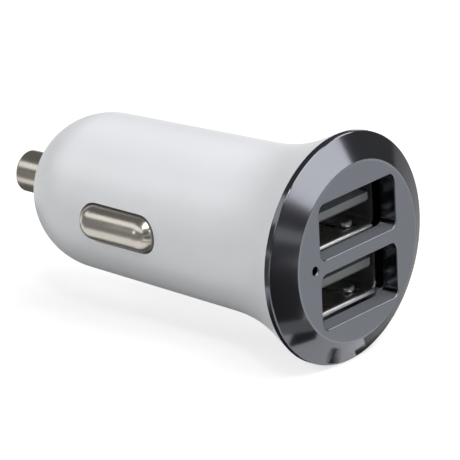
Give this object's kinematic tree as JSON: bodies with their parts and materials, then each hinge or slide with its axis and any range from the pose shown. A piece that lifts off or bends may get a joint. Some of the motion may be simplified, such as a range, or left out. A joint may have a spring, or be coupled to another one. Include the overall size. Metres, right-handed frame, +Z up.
{
  "type": "car usb charger plug",
  "caption": "Car charger plug: white tapered barrel, sprung centre tip and side earth contacts, and a dark bevelled face with stacked USB sockets and a light pinhole.",
  "frame": {"origin": "centre of the bezel's flat face", "axes": "+X along the plug's axis, out of the face; +Z up, from the lower socket to the upper one; +Y to the right of a person who looks at the face"},
  "size_m": [0.052, 0.0278, 0.0278],
  "materials": {
    "white_plastic": "injection moulded, satin gloss",
    "plated_bezel": "moulded plastic with dark chrome plating, polished bevel, satin face",
    "nickel_plate": "turned and drawn brass, bright nickel plated",
    "spring_steel": "drawn spring wire and strip",
    "brass_strip": "stamped strip",
    "socket_steel": "folded nickel-plated sheet",
    "tongue_plastic": "moulded glass-filled plastic",
    "circuit_board": "solder mask on glass-epoxy laminate",
    "led_lens": "clear cast resin",
    "iron_powder": "pressed iron powder",
    "black_resin": "moulded resin",
    "can_aluminium": "drawn can",
    "fuse_body": "fired ceramic chip"
  },
  "bodies": {
    "plug_body": {"barrel_housing": "white_plastic", "front_bezel": "plated_bezel", "tip_spring": "spring_steel", "positive_terminal": "brass_strip", "earth_spring_left": "spring_steel", "earth_spring_right": "spring_steel", "upper_usb_shell": "socket_steel", "lower_usb_shell": "socket_steel", "upper_usb_tongue": "tongue_plastic", "lower_usb_tongue": "tongue_plastic", "upper_usb_contacts": "brass_strip", "lower_usb_contacts": "brass_strip", "port_board": "circuit_board", "main_board": "circuit_board", "indicator_led": "led_lens", "power_inductor": "iron_powder", "converter_chip": "black_resin", "rectifier_diode": "black_resin", "output_capacitor": "can_aluminium", "input_capacitor": "can_aluminium", "board_fuse": "fuse_body"},
    "tip": {"tip_contact": "nickel_plate"},
    "earth_left": {"earth_contact_left": "nickel_plate"},
    "earth_right": {"earth_contact_right": "nickel_plate"}
  },
  "joints": [
    {"name": "tip_plunge", "type": "slide", "parent": "plug_body", "child": "tip", "axis": [1, 0, 0], "range_m": [0, 0.0024], "stiffness_N_per_m": 1200, "springref_m": -0.0015, "deforming": ["tip_spring"]},
    {"name": "earth_left_press", "type": "slide", "parent": "plug_body", "child": "earth_left", "axis": [0, 1, 0], "range_m": [0, 0.0013], "stiffness_N_per_m": 1500, "springref_m": -0.001, "deforming": ["earth_spring_left"]},
    {"name": "earth_right_press", "type": "slide", "parent": "plug_body", "child": "earth_right", "axis": [0, -1, 0], "range_m": [0, 0.0013], "stiffness_N_per_m": 1500, "springref_m": -0.001, "deforming": ["earth_spring_right"]}
  ]
}
